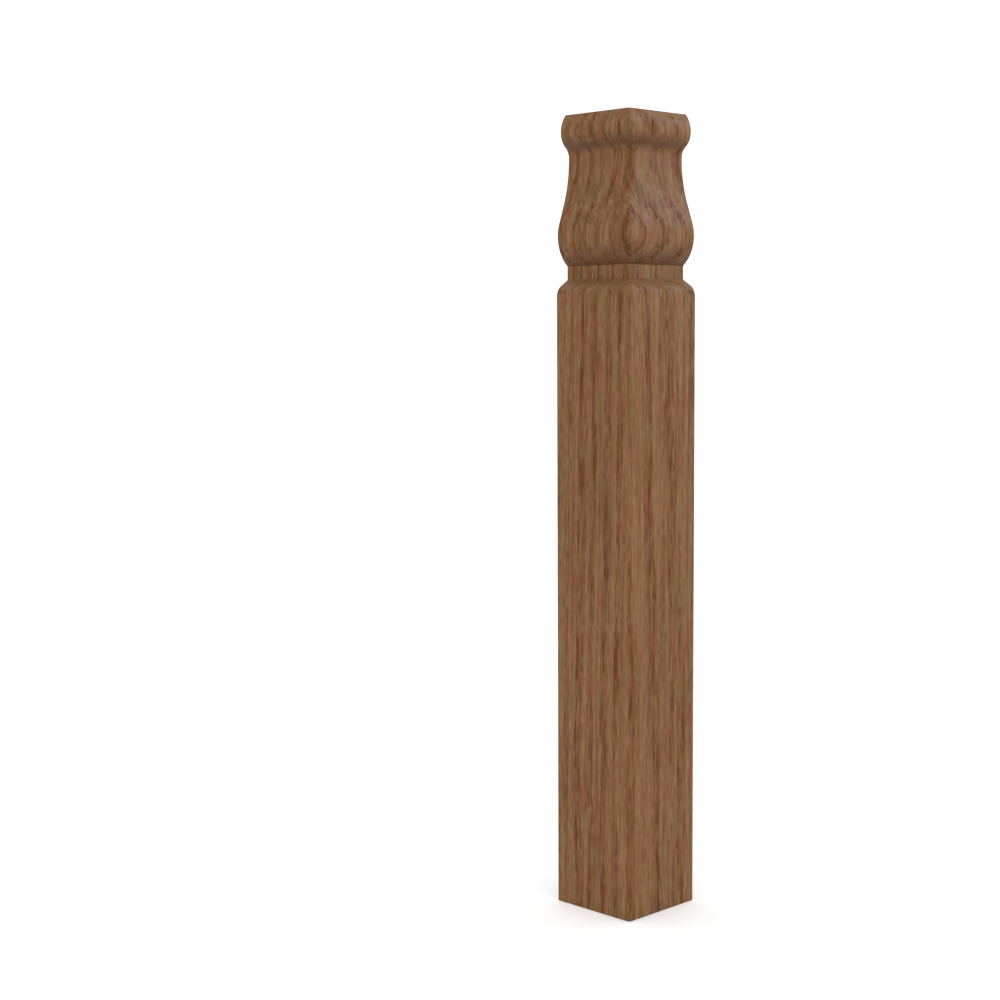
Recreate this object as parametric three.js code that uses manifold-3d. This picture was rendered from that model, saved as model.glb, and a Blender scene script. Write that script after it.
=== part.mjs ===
// Base connector moulding in oak: a square block that baseboards butt against, so that they need no mitre.
// The two faces towards the room carry one moulding, mitred at the front arris: a round bead, a hollow
// neck that swells to a belly, a small fillet and a sloping shoulder above a plain square shaft.
// The two faces towards the wall and both ends are flat.
// Millimetres, +Z up. The origin is the middle of the foot. The moulded faces look along -X and -Y.

import * as THREE from 'three';
import { mergeVertices } from 'three/addons/utils/BufferGeometryUtils.js';
import Module from 'manifold-3d';

const wasm = await Module();
wasm.setup();

// Driving dimensions of the block
const WIDTH = 22.225; // 7/8 in square in plan
const HEIGHT = 180.975; // 7 1/8 in
const ARRIS_RADIUS = 0.7; // sanded front arris

// Driving dimensions of the moulding. A depth is measured in from the shaft's face, a drop down from the top.
const BEAD_RADIUS = 4.05; // lower half of the bead
const BEAD_TOP_RADIUS = 6; // upper half, which the flat top cuts off
const BEAD_COVE = 2.8; // hollow corner under the bead
const BEAD_DEPTH = 1.4;
const NECK_DEPTH = 4.05;
const NECK_DROP = 9.9;
const FLANK_ANGLE = THREE.MathUtils.degToRad(19); // straight flank between neck and belly, from upright
const BELLY_DEPTH = 0.35;
const BELLY_DROP = 27.2;
const BELLY_RADIUS = 8.5;
const FILLET_DEPTH = 3.55;
const FILLET_FOOT_DROP = 36.9;
const SHOULDER_ANGLE = THREE.MathUtils.degToRad(32); // slope of the shoulder, from level
const SHOULDER_RADIUS = 3; // round where the slope turns into the shaft

// How finely the curves are cut into flats
const STEPS_PER_HALF_ARC = 8;
const ARRIS_FACETS = 3;

// Room that a cutting shape reaches past the block
const MARGIN = 5;

// Corners closer than this are one corner
const MERGE_DISTANCE = 1e-4;

const OAK = new THREE.MeshStandardMaterial({ color: 0x84603f, roughness: 0.62, metalness: 0 });

// The first of the two points where two circles meet, counted anticlockwise about the first centre.
function circlesMeet(centreA, radiusA, centreB, radiusB) {
  const span = centreB.clone().sub(centreA);
  const gap = span.length();
  const along = (gap * gap + radiusA * radiusA - radiusB * radiusB) / (2 * gap);
  const aside = Math.sqrt(radiusA * radiusA - along * along);
  const unit = span.divideScalar(gap);
  return new THREE.Vector2(
    centreA.x + unit.x * along + unit.y * aside,
    centreA.y + unit.y * along - unit.x * aside,
  );
}

function angleAbout(centre, point) {
  return Math.atan2(point.y - centre.y, point.x - centre.x);
}

// The moulding as one line from the foot to the top: x is the depth in from the shaft's face, y the height.
function mouldingLine() {
  const bellyCentre = new THREE.Vector2(BELLY_DEPTH + BELLY_RADIUS, HEIGHT - BELLY_DROP);
  const beadCentre = new THREE.Vector2(BEAD_DEPTH + BEAD_RADIUS, HEIGHT - BEAD_RADIUS);

  // The hollow's radius follows from the flank, a straight line that touches both the belly and the hollow.
  const rise = BELLY_DROP - NECK_DROP;
  const recess = NECK_DEPTH - BELLY_DEPTH;
  const radiusSum = (rise * Math.tan(FLANK_ANGLE) - recess) / (1 / Math.cos(FLANK_ANGLE) - 1);
  const hollowRadius = radiusSum - BELLY_RADIUS;
  const hollowCentre = new THREE.Vector2(NECK_DEPTH - hollowRadius, HEIGHT - NECK_DROP);

  const filletTop = bellyCentre.y - Math.sqrt(BELLY_RADIUS ** 2 - (bellyCentre.x - FILLET_DEPTH) ** 2);
  const filletFoot = HEIGHT - FILLET_FOOT_DROP;
  const shoulderTurn = Math.PI / 2 - SHOULDER_ANGLE;
  const slopeFoot = filletFoot - FILLET_DEPTH * Math.tan(SHOULDER_ANGLE);
  const shaftTop = slopeFoot - SHOULDER_RADIUS * Math.tan(shoulderTurn / 2);

  // The cove touches the hollow from inside and the bead from outside.
  const coveCentre = circlesMeet(hollowCentre, hollowRadius - BEAD_COVE, beadCentre, BEAD_RADIUS + BEAD_COVE);
  const coveStart = angleAbout(hollowCentre, coveCentre);
  const coveEnd = angleAbout(coveCentre, beadCentre);
  const beadTopTurn = Math.asin(BEAD_RADIUS / BEAD_TOP_RADIUS);
  const beadTopX = BEAD_DEPTH + BEAD_TOP_RADIUS;

  const line = new THREE.Path();
  line.moveTo(0, -MARGIN);
  line.lineTo(0, shaftTop);
  line.absarc(SHOULDER_RADIUS, shaftTop, SHOULDER_RADIUS, Math.PI, Math.PI - shoulderTurn, true);
  line.lineTo(FILLET_DEPTH, filletFoot);
  line.lineTo(FILLET_DEPTH, filletTop);
  const bellyStart = angleAbout(bellyCentre, new THREE.Vector2(FILLET_DEPTH, filletTop));
  line.absarc(bellyCentre.x, bellyCentre.y, BELLY_RADIUS, bellyStart, Math.PI - FLANK_ANGLE, true);
  line.absarc(hollowCentre.x, hollowCentre.y, hollowRadius, -FLANK_ANGLE, coveStart, false);
  line.absarc(coveCentre.x, coveCentre.y, BEAD_COVE, coveStart, coveEnd, false);
  line.absarc(beadCentre.x, beadCentre.y, BEAD_RADIUS, coveEnd + Math.PI, Math.PI, true);
  line.absarc(beadTopX, beadCentre.y, BEAD_TOP_RADIUS, Math.PI, Math.PI - beadTopTurn, true);
  line.lineTo(beadTopX - BEAD_TOP_RADIUS * Math.cos(beadTopTurn), HEIGHT + MARGIN);
  return line.getPoints(STEPS_PER_HALF_ARC);
}

// A long bar with the moulding on one side, which looks the given angle round from -X towards -Y. Bars between
// those two faces are let in by the amount that rounds the arris to its radius.
function mouldedBar(line, angle) {
  const reach = WIDTH;
  const spread = Math.cos(angle) + Math.sin(angle);
  const outline = line.map(({ x: depth, y: height }) => {
    const stand = (WIDTH / 2 - depth - ARRIS_RADIUS) * spread + ARRIS_RADIUS;
    return new THREE.Vector2(stand, height);
  });
  outline.push(new THREE.Vector2(-reach, HEIGHT + MARGIN), new THREE.Vector2(-reach, -MARGIN));
  const bar = new THREE.ExtrudeGeometry(new THREE.Shape(outline), { depth: 2 * reach, bevelEnabled: false });
  bar.translate(0, 0, -reach);
  bar.rotateX(Math.PI / 2);
  bar.rotateZ(Math.PI + angle);
  return bar;
}

function toSolid(geometry) {
  const bare = geometry.clone();
  bare.deleteAttribute('normal');
  bare.deleteAttribute('uv');
  const merged = mergeVertices(bare, MERGE_DISTANCE);
  const mesh = new wasm.Mesh({
    numProp: 3,
    vertProperties: Float32Array.from(merged.attributes.position.array),
    triVerts: Uint32Array.from(merged.index.array),
  });
  return new wasm.Manifold(mesh);
}

function toGeometry(solid) {
  const { vertProperties, triVerts } = solid.getMesh();
  const geometry = new THREE.BufferGeometry();
  geometry.setAttribute('position', new THREE.BufferAttribute(vertProperties, 3));
  geometry.setIndex(new THREE.BufferAttribute(triVerts, 1));
  geometry.computeVertexNormals();
  return geometry;
}

// The square block, cut on its two room-side faces and along the arris between them by the one moulding.
function connectorBlock() {
  const block = new THREE.BoxGeometry(WIDTH, WIDTH, HEIGHT);
  block.translate(0, 0, HEIGHT / 2);
  let solid = toSolid(block);
  const line = mouldingLine();
  const cuts = ARRIS_FACETS + 1;
  for (let i = 0; i <= cuts; i += 1) {
    solid = solid.intersect(toSolid(mouldedBar(line, (i / cuts) * (Math.PI / 2))));
  }
  const mesh = new THREE.Mesh(toGeometry(solid), OAK);
  mesh.name = 'connector_block';
  return mesh;
}

const baseConnector = new THREE.Group();
baseConnector.name = 'base_connector_moulding';
baseConnector.add(connectorBlock());

export default baseConnector;
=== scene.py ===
"""The oak base connector moulding with its finished surface, in a pale studio.

The block is lofted: one moulding line runs from the foot to the top, and at each height the square plan
shrinks towards its back corner by the line's depth. So the two room-side faces carry the same moulding and
meet in a mitre, while the backs stay flat. The oak is one solid pattern that the surface cuts through, so
the rings run straight down the shaft, bow round the belly and show as arcs on the ends.
"""
import math

import bpy
from mathutils import Matrix, Vector
from mathutils.geometry import intersect_sphere_sphere_2d


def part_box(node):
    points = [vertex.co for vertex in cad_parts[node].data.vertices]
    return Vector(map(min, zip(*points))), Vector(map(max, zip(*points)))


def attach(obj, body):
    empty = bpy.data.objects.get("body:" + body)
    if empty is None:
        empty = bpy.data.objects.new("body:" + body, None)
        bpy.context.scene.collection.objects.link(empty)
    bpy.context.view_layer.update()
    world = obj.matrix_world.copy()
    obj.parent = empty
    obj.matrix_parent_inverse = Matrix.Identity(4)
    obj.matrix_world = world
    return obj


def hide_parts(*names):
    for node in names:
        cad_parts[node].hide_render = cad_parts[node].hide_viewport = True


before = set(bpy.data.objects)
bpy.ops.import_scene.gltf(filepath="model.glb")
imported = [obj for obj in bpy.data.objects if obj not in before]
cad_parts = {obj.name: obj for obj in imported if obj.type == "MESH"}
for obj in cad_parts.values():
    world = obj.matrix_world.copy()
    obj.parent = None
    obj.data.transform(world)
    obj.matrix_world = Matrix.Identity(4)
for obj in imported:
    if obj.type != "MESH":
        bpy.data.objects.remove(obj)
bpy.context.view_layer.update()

MM = 0.001

# The block's overall sizes, from the frame
BLOCK_LOW, BLOCK_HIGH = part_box("connector_block")
WIDTH = BLOCK_HIGH.x - BLOCK_LOW.x
HEIGHT = BLOCK_HIGH.z - BLOCK_LOW.z

# The moulding. A depth is measured in from the shaft's face, a drop down from the top
BEAD_RADIUS = 4.05 * MM
BEAD_TOP_RADIUS = 6.0 * MM
BEAD_COVE = 2.8 * MM
BEAD_DEPTH = 1.4 * MM
NECK_DEPTH = 4.05 * MM
NECK_DROP = 9.9 * MM
FLANK_ANGLE = math.radians(19)
BELLY_DEPTH = 0.35 * MM
BELLY_DROP = 27.2 * MM
BELLY_RADIUS = 8.5 * MM
FILLET_DEPTH = 3.55 * MM
FILLET_FOOT_DROP = 36.9 * MM
SHOULDER_ANGLE = math.radians(32)
SHOULDER_RADIUS = 3.0 * MM

# Sanded edges, and how fine the mesh is
ARRIS_RADIUS = 0.7 * MM
EDGE_EASE = 0.2 * MM
HEAD_SPACING = 0.4 * MM
SHAFT_SPACING = 1.0 * MM
LEAST_ARC_STEPS = 3
CORNER_STEPS = 6
SHARP_ANGLE = math.radians(30)

# The oak's growth rings, in millimetres. The early wood has a level at places in a ring, which run from 0 at
# its start to 1 at its end
RING_SPACING = 3.4
RING_PHASE = 0.76
RING_UNEVEN = 0.5
RING_UNEVEN_RATE = 0.22
EARLY_WOOD = ((0.0, 0.2), (0.12, 1.0), (0.28, 0.75), (0.55, 0.1))
PITH_AWAY = 170.0
PITH_TURN = math.radians(64.5)

# The oak's grain, in millimetres. A wander is how far the grain strays, over how far across and along it.
# A grain size is how wide and how long one mark of that kind is
GRAIN_LEAN = (math.radians(-0.68), math.radians(0.36), 0.0)
WANDERS = ((1.2, 26.0, 130.0), (0.3, 3.0, 30.0))
GRAIN_SIZES = {
    "fine pore": (0.55, 6.0),
    "coarse pore": (0.95, 14.0),
    "fibre": (1.1, 34.0),
    "fleck": (0.5, 2.6),
    "tint": (2.4, 7.0),
    "ring fading": (3.5, 45.0),
}
RAY_SIZE = (6.0, 0.45, 5.0)
NOISE_MIDDLE = (0.5, 0.5, 0.5)

# How each mark comes out of its noise, cell or ring
RING_FADING = {"From Min": 0.36, "From Max": 0.62, "To Min": 0.4}
PORE_EDGE = {"From Min": 0.52, "From Max": 0.2}
PORE_CROWD = {"To Min": 0.12}
STREAK = {"From Min": 0.33, "From Max": 0.67}
TINT = {"From Min": 0.48, "From Max": 0.75, "To Max": 0.5}
RAY = {"From Min": 0.3, "From Max": 0.12, "To Max": 0.35}

# How much each mark darkens the wood, from the palest late wood to an open pore
EARLY_SHARE = 0.32
PORE_SHARE = 0.45
FIBRE_SHARE = 0.52
FLECK_SHARE = 0.4
OAK_TONES = ((0.1, "#88643F"), (0.45, "#795431"), (0.75, "#68411D"), (1.0, "#5C3516"))
OAK_RED = "#7C4226"
OAK_YELLOW = "#705828"
OAK_RAY = "#8E6B4C"

# Painted shade in the colour by which way a cut faces, from straight down to straight up: the undersides
# carry painted shade, and the sawn top a darker end grain tone
UNDERSIDE_PAINTED_SHADE_AND_END_GRAIN = (
    (0.0, "#BFB8B2"),
    (0.2, "#D2CAC3"),
    (0.45, "#FFFFFF"),
    (0.95, "#FFFFFF"),
    (1.0, "#D8D0C8"),
)

# How far the marks blur on a cut, from one along the grain to one square across it, and how dark the blur is
CUT_BLURS = ((0.3, 0.0), (0.8, 0.78), (0.93, 0.78), (1.0, 0.2))
CUT_TONE = 0.38

# The oak's surface, from sound wood to the bottom of a pore
OAK_ROUGHNESS = {"To Min": 0.58, "To Max": 0.85}
OAK_GLOSS = {"To Min": 0.3, "To Max": 0.05}
OAK_IOR = 1.5
BUMP_DEPTH = 0.05 * MM
BUMP_STRENGTH = 0.5

# The camera, from the fit to the block's outline in a square picture
PICTURE_SIDE = 1000
FOCAL_PIXELS = 1781.9
SENSOR = 36.0
CAMERA_AZIMUTH = math.radians(-48.229)
CAMERA_AWAY = 407.08 * MM
CAMERA_HEIGHT = 131.9 * MM
CAMERA_YAW = math.radians(4.054)
CAMERA_PITCH = math.radians(5.317)
CAMERA_ROLL = math.radians(-0.329)
CLIP_START = CAMERA_AWAY / 100

# The studio, in metres
FLOOR_RADIUS = 1.1
SWEEP_RADIUS = 0.7
WALL_TOP = 2.0
STAGE_SEGMENTS = 96
SWEEP_STEPS = 16
FLOOR_GAP = 0.05 * MM
FLOOR_WHITE = "#F4F4F4"
FLOOR_ROUGHNESS = 0.95
FLOOR_GLOSS = 0.1
FLOOR_GLOW = 0.25
SKY_WHITE = "#FFFFFF"
SKY_STRENGTH = 0.75
LIGHTS = {
    "front_light": {
        "place": (-0.45, -0.9, 0.3),
        "aim": (0, 0, 0),
        "size": 0.3,
        "spread": math.radians(25),
        "power": 0.05,
        "colour": "#FFFFFF",
    },
    "top_light": {
        "place": (0.12, 0.13, 1.6),
        "aim": (0, 0, 0),
        "size": 1.2,
        "spread": math.pi,
        "power": 2.5,
        "colour": "#FFFFFF",
    },
    "head_light": {
        "place": (0.38, -0.35, 0.5),
        "aim": (0, 0, 0.16),
        "size": 0.08,
        "spread": math.radians(10),
        "power": 0.009,
        "colour": "#B8D4FF",
    },
}


def linear(colour):
    """An sRGB hex colour as linear red, green, blue and alpha."""
    channels = [int(colour[i:i + 2], 16) / 255 for i in (1, 3, 5)]
    return [c / 12.92 if c <= 0.04045 else ((c + 0.055) / 1.055) ** 2.4 for c in channels] + [1.0]


def grey(level):
    """A level from 0 to 1 as a linear colour."""
    return [level, level, level, 1.0]


def add(tree, kind, inputs=None, stops=(), **settings):
    """Adds a node and gives its outputs. An input takes a plain value or another node's output. Stops are the
    places and linear colours of a ramp."""
    node = tree.nodes.new(kind)
    for name, value in settings.items():
        setattr(node, name, value)
    for key, value in (inputs or {}).items():
        if isinstance(value, bpy.types.NodeSocket):
            tree.links.new(value, node.inputs[key])
        else:
            node.inputs[key].default_value = value
    if stops:
        elements = node.color_ramp.elements
        elements.remove(elements[1])
        elements[0].position, elements[0].color = stops[0]
        for place, colour in stops[1:]:
            elements.new(place).color = colour
    return node.outputs


def link_object(name, data):
    """A new object in the scene."""
    piece = bpy.data.objects.new(name, data)
    bpy.context.scene.collection.objects.link(piece)
    return piece


# The moulding line

def arc(centre, radius, start, end):
    """Points round an arc after its first, at the head's spacing."""
    steps = max(LEAST_ARC_STEPS, math.ceil(radius * abs(end - start) / HEAD_SPACING))
    angles = [start + (end - start) * i / steps for i in range(1, steps + 1)]
    return [centre + radius * Vector((math.cos(a), math.sin(a))) for a in angles]


def straight(start, end, spacing):
    """Points along a straight stretch after its first."""
    steps = max(1, math.ceil((end - start).length / spacing))
    return [start.lerp(end, i / steps) for i in range(1, steps + 1)]


def turn_about(centre, point):
    """The angle of a point about a centre, from 0 to a full turn."""
    return math.atan2(point.y - centre.y, point.x - centre.x) % math.tau


def moulding_line():
    """Points of depth and height from the foot to the flat top, in one line."""
    belly = Vector((BELLY_DEPTH + BELLY_RADIUS, HEIGHT - BELLY_DROP))
    bead = Vector((BEAD_DEPTH + BEAD_RADIUS, HEIGHT - BEAD_RADIUS))

    # The hollow's radius follows from the flank, which touches both the belly and the hollow
    rise = BELLY_DROP - NECK_DROP
    recess = NECK_DEPTH - BELLY_DEPTH
    radius_sum = (rise * math.tan(FLANK_ANGLE) - recess) / (1 / math.cos(FLANK_ANGLE) - 1)
    hollow_radius = radius_sum - BELLY_RADIUS
    hollow = Vector((NECK_DEPTH - hollow_radius, HEIGHT - NECK_DROP))
    flank_end = hollow + hollow_radius * Vector((math.cos(FLANK_ANGLE), -math.sin(FLANK_ANGLE)))

    # The cove touches the hollow from inside and the bead from outside
    meetings = intersect_sphere_sphere_2d(hollow, hollow_radius - BEAD_COVE, bead, BEAD_RADIUS + BEAD_COVE)
    cove = min(meetings, key=lambda point: point.y)

    # The bead's upper half has the larger radius, and the flat top cuts it off
    bead_top = Vector((BEAD_DEPTH + BEAD_TOP_RADIUS, bead.y))
    bead_top_turn = math.asin(BEAD_RADIUS / BEAD_TOP_RADIUS)

    fillet_top = belly.y - math.sqrt(BELLY_RADIUS ** 2 - (belly.x - FILLET_DEPTH) ** 2)
    fillet_foot = HEIGHT - FILLET_FOOT_DROP
    shoulder_turn = math.pi / 2 - SHOULDER_ANGLE
    slope_foot = fillet_foot - FILLET_DEPTH * math.tan(SHOULDER_ANGLE)
    shaft_top = slope_foot - SHOULDER_RADIUS * math.tan(shoulder_turn / 2)

    ease = Vector((EDGE_EASE, EDGE_EASE))
    shoulder = Vector((SHOULDER_RADIUS, shaft_top))
    fillet_start = Vector((FILLET_DEPTH, fillet_foot))
    fillet_end = Vector((FILLET_DEPTH, fillet_top))

    line = [Vector((EDGE_EASE, 0))]
    line += arc(ease, EDGE_EASE, -math.pi / 2, -math.pi)
    line += straight(line[-1], Vector((0, shaft_top)), SHAFT_SPACING)
    line += arc(shoulder, SHOULDER_RADIUS, math.pi, math.pi - shoulder_turn)
    line += straight(line[-1], fillet_start, HEAD_SPACING)
    line += straight(fillet_start, fillet_end, HEAD_SPACING)
    line += arc(belly, BELLY_RADIUS, turn_about(belly, fillet_end), math.pi - FLANK_ANGLE)
    line += straight(line[-1], flank_end, HEAD_SPACING)
    line += arc(hollow, hollow_radius, -FLANK_ANGLE, turn_about(hollow, cove))
    line += arc(cove, BEAD_COVE, turn_about(hollow, cove), turn_about(cove, bead))
    line += arc(bead, BEAD_RADIUS, turn_about(bead, cove), math.pi)
    line += arc(bead_top, BEAD_TOP_RADIUS, math.pi, math.pi - bead_top_turn)
    return line


# The block

def loft_tree():
    """Geometry nodes that loft the square plan up the moulding line."""
    tree = bpy.data.node_groups.new("block_loft", "GeometryNodeTree")
    for name, kind in (
        ("Moulding Line", "NodeSocketGeometry"),
        ("Width", "NodeSocketFloat"),
        ("Arris Radius", "NodeSocketFloat"),
        ("Edge Ease", "NodeSocketFloat"),
        ("Corner Steps", "NodeSocketInt"),
        ("Spacing", "NodeSocketFloat"),
        ("Sharp Angle", "NodeSocketFloat"),
        ("Oak", "NodeSocketMaterial"),
    ):
        tree.interface.new_socket(name, in_out="INPUT", socket_type=kind)
    tree.interface.new_socket("Block", in_out="OUTPUT", socket_type="NodeSocketGeometry")
    given = add(tree, "NodeGroupInput")
    place = add(tree, "GeometryNodeInputPosition")[0]
    axes = add(tree, "ShaderNodeSeparateXYZ", {0: place})
    half = add(tree, "ShaderNodeMath", {0: given["Width"], 1: 0.5}, operation="MULTIPLY")[0]
    minus_half = add(tree, "ShaderNodeMath", {0: given["Width"], 1: -0.5}, operation="MULTIPLY")[0]

    # The plan: a square with a rounded front arris and three eased corners, its back corner at the middle
    square = add(tree, "GeometryNodeCurvePrimitiveQuadrilateral",
                 {"Width": given["Width"], "Height": given["Width"]}, mode="RECTANGLE")[0]
    forward = add(tree, "ShaderNodeMath", {0: axes["X"], 1: axes["Y"]}, operation="ADD")[0]
    is_front = add(tree, "ShaderNodeMath", {0: forward, 1: minus_half}, operation="LESS_THAN")[0]
    rounding = add(tree, "GeometryNodeSwitch",
                   {"Switch": is_front, "False": given["Edge Ease"], "True": given["Arris Radius"]},
                   input_type="FLOAT")[0]
    rounded = add(tree, "GeometryNodeFilletCurve",
                  {"Curve": square, "Count": given["Corner Steps"], "Radius": rounding}, mode="POLY")[0]

    # Extra points on the plan's long straight sides
    count = add(tree, "GeometryNodeAttributeDomainSize", {"Geometry": rounded},
                component="CURVE")["Point Count"]
    index = add(tree, "GeometryNodeInputIndex")[0]
    after = add(tree, "ShaderNodeMath", {0: index, 1: 1.0}, operation="ADD")[0]
    following = add(tree, "ShaderNodeMath", {0: after, 1: count}, operation="MODULO")[0]
    next_place = add(tree, "GeometryNodeFieldAtIndex", {"Value": place, "Index": following},
                     data_type="FLOAT_VECTOR", domain="POINT")[0]
    gap = add(tree, "ShaderNodeVectorMath", {0: place, 1: next_place}, operation="DISTANCE")["Value"]
    cuts = add(tree, "ShaderNodeMath", {0: gap, 1: given["Spacing"]}, operation="DIVIDE")[0]
    divided = add(tree, "GeometryNodeSubdivideCurve", {"Curve": rounded, "Cuts": cuts})[0]
    to_corner = add(tree, "ShaderNodeCombineXYZ", {"X": minus_half, "Y": minus_half})[0]
    plan = add(tree, "GeometryNodeSetPosition", {"Geometry": divided, "Offset": to_corner})[0]

    # The path: straight up over the back corner, as wide at each height as the moulding leaves the block
    line = add(tree, "GeometryNodeMeshToCurve", {"Mesh": given["Moulding Line"]})[0]
    left = add(tree, "ShaderNodeMath", {0: given["Width"], 1: axes["X"]}, operation="SUBTRACT")[0]
    share = add(tree, "ShaderNodeMath", {0: left, 1: given["Width"]}, operation="DIVIDE")[0]
    sized = add(tree, "GeometryNodeSetCurveRadius", {"Curve": line, "Radius": share})[0]
    over_corner = add(tree, "ShaderNodeCombineXYZ", {"X": half, "Y": half, "Z": axes["Z"]})[0]
    path = add(tree, "GeometryNodeSetPosition", {"Geometry": sized, "Position": over_corner})[0]
    wide = add(tree, "GeometryNodeInputRadius")[0]
    block = add(tree, "GeometryNodeCurveToMesh",
                {"Curve": path, "Profile Curve": plan, "Scale": wide, "Fill Caps": True})[0]

    # Smooth rounds between crisp edges
    bend = add(tree, "GeometryNodeInputMeshEdgeAngle")["Unsigned Angle"]
    crisp = add(tree, "ShaderNodeMath", {0: bend, 1: given["Sharp Angle"]}, operation="GREATER_THAN")[0]
    smooth = add(tree, "GeometryNodeSetShadeSmooth", {0: block, "Shade Smooth": True}, domain="FACE")[0]
    shaded = add(tree, "GeometryNodeSetShadeSmooth", {0: smooth, "Selection": crisp, "Shade Smooth": False},
                 domain="EDGE")[0]
    real = add(tree, "GeometryNodeRealizeInstances", {0: shaded})[0]
    finished = add(tree, "GeometryNodeSetMaterial", {0: real, "Material": given["Oak"]})[0]
    add(tree, "NodeGroupOutput", {"Block": finished})
    return tree


def connector_block(oak):
    """The whole block as one mesh in the CAD solid's place."""
    points = [(point.x, 0, point.y) for point in moulding_line()]
    edges = [(i, i + 1) for i in range(len(points) - 1)]
    mesh = bpy.data.meshes.new("moulding_line")
    mesh.from_pydata(points, edges, [])
    block = link_object("oak_connector_block", mesh)
    loft = block.modifiers.new("loft", "NODES")
    loft.node_group = loft_tree()
    sizes = {
        "Width": WIDTH,
        "Arris Radius": ARRIS_RADIUS,
        "Edge Ease": EDGE_EASE,
        "Corner Steps": CORNER_STEPS,
        "Spacing": SHAFT_SPACING,
        "Sharp Angle": SHARP_ANGLE,
        "Oak": oak,
    }
    for socket in loft.node_group.interface.items_tree:
        if socket.name in sizes:
            loft[socket.identifier] = sizes[socket.name]
    evaluated = block.evaluated_get(bpy.context.evaluated_depsgraph_get())
    finished = bpy.data.meshes.new_from_object(evaluated)
    block.modifiers.clear()
    block.data = finished
    bpy.data.meshes.remove(mesh)
    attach(block, "root")
    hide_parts("connector_block")
    return block


# The oak

def along_grain(tree, point):
    """Places in the tree that the block was cut from. The fibres wander, slowly over the block and quickly
    from mark to mark, and the block leans a little from the tree's upright."""
    strayed = point
    for reach, across, along in WANDERS:
        slow = add(tree, "ShaderNodeMapping",
                   {"Vector": point, "Scale": (1 / across, 1 / across, 1 / along)})[0]
        drift = add(tree, "ShaderNodeTexNoise", {"Vector": slow, "Scale": 1.0, "Detail": 1.0})["Color"]
        middle = add(tree, "ShaderNodeVectorMath", {0: drift, 1: NOISE_MIDDLE}, operation="SUBTRACT")[0]
        strayed = add(tree, "ShaderNodeVectorMath",
                      {0: middle, 1: (2 * reach, 2 * reach, 0), 2: strayed}, operation="MULTIPLY_ADD")[0]
    return add(tree, "ShaderNodeMapping", {"Vector": strayed, "Rotation": GRAIN_LEAN})[0]


def early_wood(tree, grain, fading_place):
    """Early wood at the start of each growth ring about a pith behind the block, fainter in some places."""
    pith = (PITH_AWAY * math.cos(PITH_TURN), PITH_AWAY * math.sin(PITH_TURN), 0)
    from_pith = add(tree, "ShaderNodeVectorMath", {0: grain, 1: pith}, operation="SUBTRACT")[0]
    flat = add(tree, "ShaderNodeVectorMath", {0: from_pith, 1: (1, 1, 0)}, operation="MULTIPLY")[0]
    radius = add(tree, "ShaderNodeVectorMath", {0: flat}, operation="LENGTH")["Value"]
    uneven = add(tree, "ShaderNodeTexNoise", {"W": radius, "Scale": RING_UNEVEN_RATE, "Detail": 1.0},
                 noise_dimensions="1D")["Fac"]
    age = add(tree, "ShaderNodeMath", {0: radius, 1: 1 / RING_SPACING, 2: RING_PHASE},
              operation="MULTIPLY_ADD")[0]
    years = add(tree, "ShaderNodeMath", {0: uneven, 1: RING_UNEVEN, 2: age}, operation="MULTIPLY_ADD")[0]
    season = add(tree, "ShaderNodeMath", {0: years}, operation="FRACT")[0]
    spring = add(tree, "ShaderNodeValToRGB", {"Fac": season},
                 stops=[(place, grey(level)) for place, level in EARLY_WOOD])["Color"]
    spring.node.color_ramp.interpolation = "EASE"
    fading = add(tree, "ShaderNodeTexNoise", {"Vector": fading_place, "Scale": 1.0, "Detail": 0.0})["Fac"]
    strength = add(tree, "ShaderNodeMapRange", {"Value": fading, **RING_FADING})[0]
    return add(tree, "ShaderNodeMath", {0: spring, 1: strength}, operation="MULTIPLY")[0]


def open_pores(tree, pore_places, early):
    """Open pores: long thin cells along the grain, fine and coarse, most of them in the early wood."""
    holes = 0.0
    for pore_place in pore_places:
        cell = add(tree, "ShaderNodeTexVoronoi", {"Vector": pore_place, "Scale": 1.0})["Distance"]
        hole = add(tree, "ShaderNodeMapRange", {"Value": cell, **PORE_EDGE},
                   interpolation_type="SMOOTHSTEP")[0]
        holes = add(tree, "ShaderNodeMath", {0: holes, 1: hole}, operation="MAXIMUM")[0]
    crowd = add(tree, "ShaderNodeMapRange", {"Value": early, **PORE_CROWD})[0]
    return add(tree, "ShaderNodeMath", {0: holes, 1: crowd}, operation="MULTIPLY")[0]


def mottled(tree, wood, tint_place, grain):
    """Wood with patches of red and yellow, and with pale rays: thin sheets that stand along the grain and run
    out from the pith."""
    mottle = add(tree, "ShaderNodeTexNoise", {"Vector": tint_place, "Scale": 1.0, "Detail": 1.0})["Color"]
    tints = add(tree, "ShaderNodeSeparateColor", {0: mottle})
    ray_place = add(tree, "ShaderNodeMapping", {"Vector": grain, "Rotation": (0, 0, -PITH_TURN)})[0]
    ray_cell = add(tree, "ShaderNodeVectorMath", {0: ray_place, 1: RAY_SIZE}, operation="DIVIDE")[0]
    ray_gap = add(tree, "ShaderNodeTexVoronoi", {"Vector": ray_cell, "Scale": 1.0})["Distance"]
    for value, limits, colour in (
        (tints["Red"], TINT, OAK_RED),
        (tints["Green"], TINT, OAK_YELLOW),
        (ray_gap, RAY, OAK_RAY),
    ):
        amount = add(tree, "ShaderNodeMapRange", {"Value": value, **limits})[0]
        wood = add(tree, "ShaderNodeMix", {0: amount, 6: wood, 7: linear(colour)}, data_type="RGBA")[2]
    return wood


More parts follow.
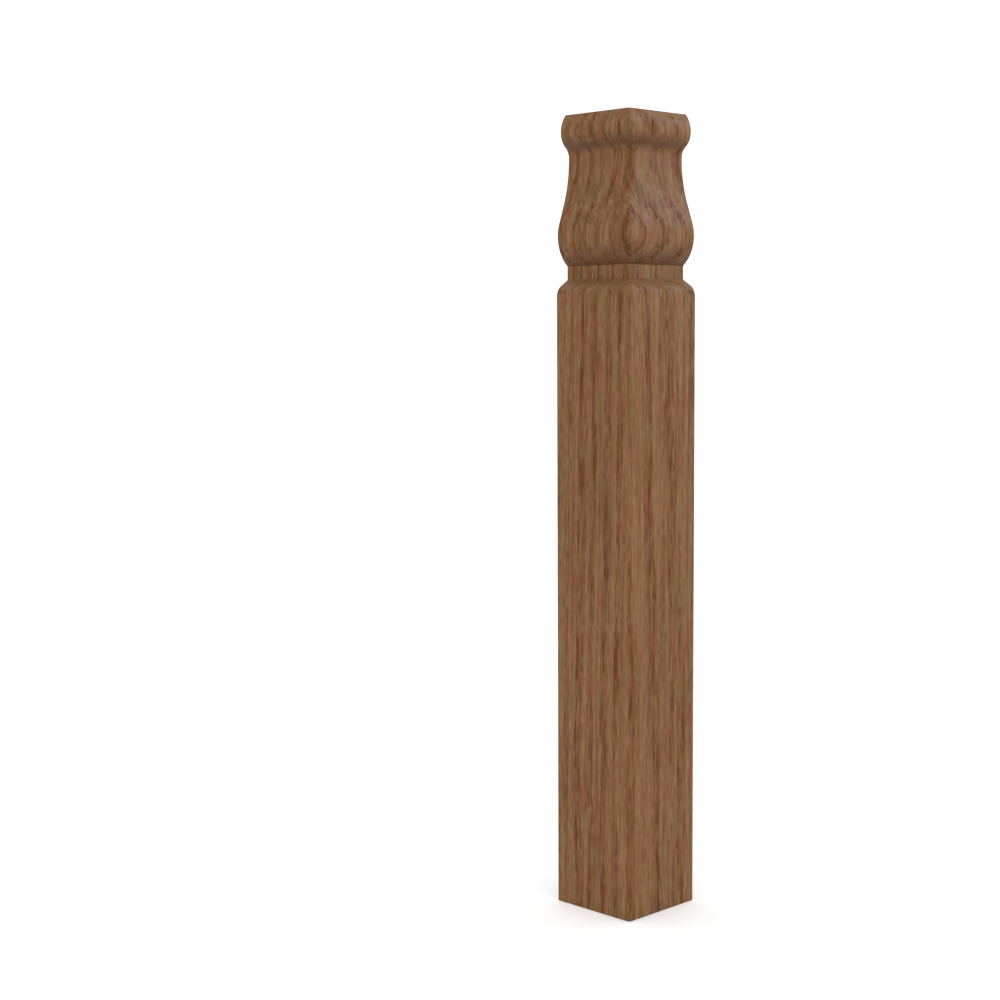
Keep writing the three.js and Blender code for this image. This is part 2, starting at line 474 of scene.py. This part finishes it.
def moulded_oak():
    """Red oak, moulded and sanded, with no finish on it. The eye gets a matt tan ground in rings, a band of
    open pores at the start of each ring that shows as short dark lines along the grain, fine fibre streaks,
    thin pale rays and darker end grain on the sawn top. The undersides carry painted shade in the colour."""
    material = bpy.data.materials.new("red_oak_moulded_and_sanded")
    material.use_nodes = True
    tree = material.node_tree
    tree.nodes.clear()
    coordinates = add(tree, "ShaderNodeTexCoord")
    point = add(tree, "ShaderNodeVectorMath", {0: coordinates["Object"], "Scale": 1 / MM},
                operation="SCALE")[0]

    # Where each kind of mark lies, with one mark to each unit
    grain = along_grain(tree, point)
    drawn = {}
    for mark, (width, length) in GRAIN_SIZES.items():
        drawn[mark] = add(tree, "ShaderNodeMapping",
                          {"Vector": grain, "Scale": (1 / width, 1 / width, 1 / length)})[0]

    # Rings, pores, fibre streaks and short flecks, and how dark they leave the wood
    early = early_wood(tree, grain, drawn["ring fading"])
    pores = open_pores(tree, (drawn["fine pore"], drawn["coarse pore"]), early)
    streaks = []
    for mark in ("fibre", "fleck"):
        noise = add(tree, "ShaderNodeTexNoise", {"Vector": drawn[mark], "Scale": 1.0, "Detail": 3.0})["Fac"]
        streaks.append(add(tree, "ShaderNodeMapRange", {"Value": noise, **STREAK})[0])
    marks = zip((early, pores, *streaks), (EARLY_SHARE, PORE_SHARE, FIBRE_SHARE, FLECK_SHARE))
    darkness = 0.0
    for mark, share in marks:
        darkness = add(tree, "ShaderNodeMath", {0: mark, 1: share, 2: darkness},
                       operation="MULTIPLY_ADD")[0]

    # Colour, with the marks blurred where the cut runs across the grain
    facing = add(tree, "ShaderNodeSeparateXYZ", {0: coordinates["Normal"]})["Z"]
    across = add(tree, "ShaderNodeMath", {0: facing}, operation="ABSOLUTE")[0]
    blur = add(tree, "ShaderNodeValToRGB", {"Fac": across},
               stops=[(place, grey(level)) for place, level in CUT_BLURS])["Color"]
    seen = add(tree, "ShaderNodeMix", {0: blur, 2: darkness, 3: CUT_TONE}, data_type="FLOAT")[0]
    tone = add(tree, "ShaderNodeValToRGB", {"Fac": seen},
               stops=[(place, linear(colour)) for place, colour in OAK_TONES])["Color"]
    wood = mottled(tree, tone, drawn["tint"], grain)

    # Painted shade: the undersides are darkened in the colour past what the even light leaves them, and the
    # sawn top is darker as end grain
    turned = add(tree, "ShaderNodeMapRange", {"Value": facing, "From Min": -1.0})[0]
    shade = add(tree, "ShaderNodeValToRGB", {"Fac": turned},
                stops=[(place, linear(colour)) for place, colour in UNDERSIDE_PAINTED_SHADE_AND_END_GRAIN])["Color"]
    shaded_wood = add(tree, "ShaderNodeVectorMath", {0: wood, 1: shade}, operation="MULTIPLY")[0]

    # Surface: matt, rougher and duller down in the pores, and a little lower at every dark mark
    roughness = add(tree, "ShaderNodeMapRange", {"Value": pores, **OAK_ROUGHNESS})[0]
    gloss = add(tree, "ShaderNodeMapRange", {"Value": pores, **OAK_GLOSS})[0]
    bump = add(tree, "ShaderNodeBump",
               {"Height": darkness, "Strength": BUMP_STRENGTH, "Distance": BUMP_DEPTH}, invert=True)[0]
    shader = add(tree, "ShaderNodeBsdfPrincipled",
                 {"Base Color": shaded_wood, "Roughness": roughness, "IOR": OAK_IOR, "Specular IOR Level": gloss,
                  "Normal": bump})[0]
    add(tree, "ShaderNodeOutputMaterial", {"Surface": shader})
    return material


# The studio

def backlit_acrylic():
    """Matt white acrylic lit from behind, as on a light table: plain white, with hardly a shadow on it."""
    material = bpy.data.materials.new("backlit_matt_acrylic")
    material.use_nodes = True
    tree = material.node_tree
    tree.nodes.clear()
    shader = add(tree, "ShaderNodeBsdfPrincipled",
                 {"Base Color": linear(FLOOR_WHITE), "Roughness": FLOOR_ROUGHNESS,
                  "Specular IOR Level": FLOOR_GLOSS, "Emission Color": linear(FLOOR_WHITE),
                  "Emission Strength": FLOOR_GLOW})[0]
    add(tree, "ShaderNodeOutputMaterial", {"Surface": shader})
    return material


def pale_floor():
    """A round floor that sweeps up into a wall, so no edge shows behind the block from any side."""
    turns = [math.pi / 2 * i / SWEEP_STEPS for i in range(SWEEP_STEPS + 1)]
    rings = [(FLOOR_RADIUS + SWEEP_RADIUS * math.sin(t), SWEEP_RADIUS * (1 - math.cos(t))) for t in turns]
    rings.append((FLOOR_RADIUS + SWEEP_RADIUS, WALL_TOP))
    points = [(0, 0, -FLOOR_GAP)]
    for radius, height in rings:
        for i in range(STAGE_SEGMENTS):
            angle = math.tau * i / STAGE_SEGMENTS
            points.append((radius * math.cos(angle), radius * math.sin(angle), height - FLOOR_GAP))
    faces = [(0, 1 + i, 1 + (i + 1) % STAGE_SEGMENTS) for i in range(STAGE_SEGMENTS)]
    for ring in range(len(rings) - 1):
        low = 1 + ring * STAGE_SEGMENTS
        high = low + STAGE_SEGMENTS
        for i in range(STAGE_SEGMENTS):
            j = (i + 1) % STAGE_SEGMENTS
            faces.append((low + i, high + i, high + j, low + j))
    mesh = bpy.data.meshes.new("studio_floor")
    mesh.from_pydata(points, [], faces)
    mesh.shade_smooth()
    mesh.materials.append(backlit_acrylic())
    floor = link_object("studio_floor", mesh)


def soft_light(name, place, aim, size, spread, power, colour):
    """A square lamp that points at its aim and isn't seen itself."""
    light = bpy.data.lights.new(name, "AREA")
    light.color = linear(colour)[:3]
    light.size = size
    light.spread = spread
    light.energy = power
    lamp = link_object(name, light)
    along = Vector(aim) - Vector(place)
    lamp.matrix_world = Matrix.Translation(place) @ along.to_track_quat("-Z", "Y").to_matrix().to_4x4()
    lamp.visible_camera = False


def pale_sky():
    """Even light from all round and above."""
    world = bpy.data.worlds.new("pale_sky")
    world.use_nodes = True
    tree = world.node_tree
    tree.nodes.clear()
    sky = add(tree, "ShaderNodeBackground", {"Color": linear(SKY_WHITE), "Strength": SKY_STRENGTH})[0]
    add(tree, "ShaderNodeOutputWorld", {"Surface": sky})
    bpy.context.scene.world = world


def camera():
    """The photographer's view: close, near the front arris and a little above the middle."""
    lens = bpy.data.cameras.new("camera")
    lens.sensor_width = SENSOR
    lens.lens = FOCAL_PIXELS / PICTURE_SIDE * SENSOR
    lens.clip_start = CLIP_START
    view = link_object("camera", lens)
    place = Vector((math.sin(CAMERA_AZIMUTH), -math.cos(CAMERA_AZIMUTH), 0)) * CAMERA_AWAY
    place.z = CAMERA_HEIGHT
    heading = CAMERA_AZIMUTH + CAMERA_YAW
    upright = Matrix.Rotation(heading, 4, "Z") @ Matrix.Rotation(math.pi / 2 - CAMERA_PITCH, 4, "X")
    view.matrix_world = Matrix.Translation(place) @ upright @ Matrix.Rotation(CAMERA_ROLL, 4, "Z")
    bpy.context.scene.camera = view


camera()
pale_floor()
pale_sky()
for name, settings in LIGHTS.items():
    soft_light(name, **settings)
connector_block(moulded_oak())
bpy.context.scene.view_settings.view_transform = "Standard"
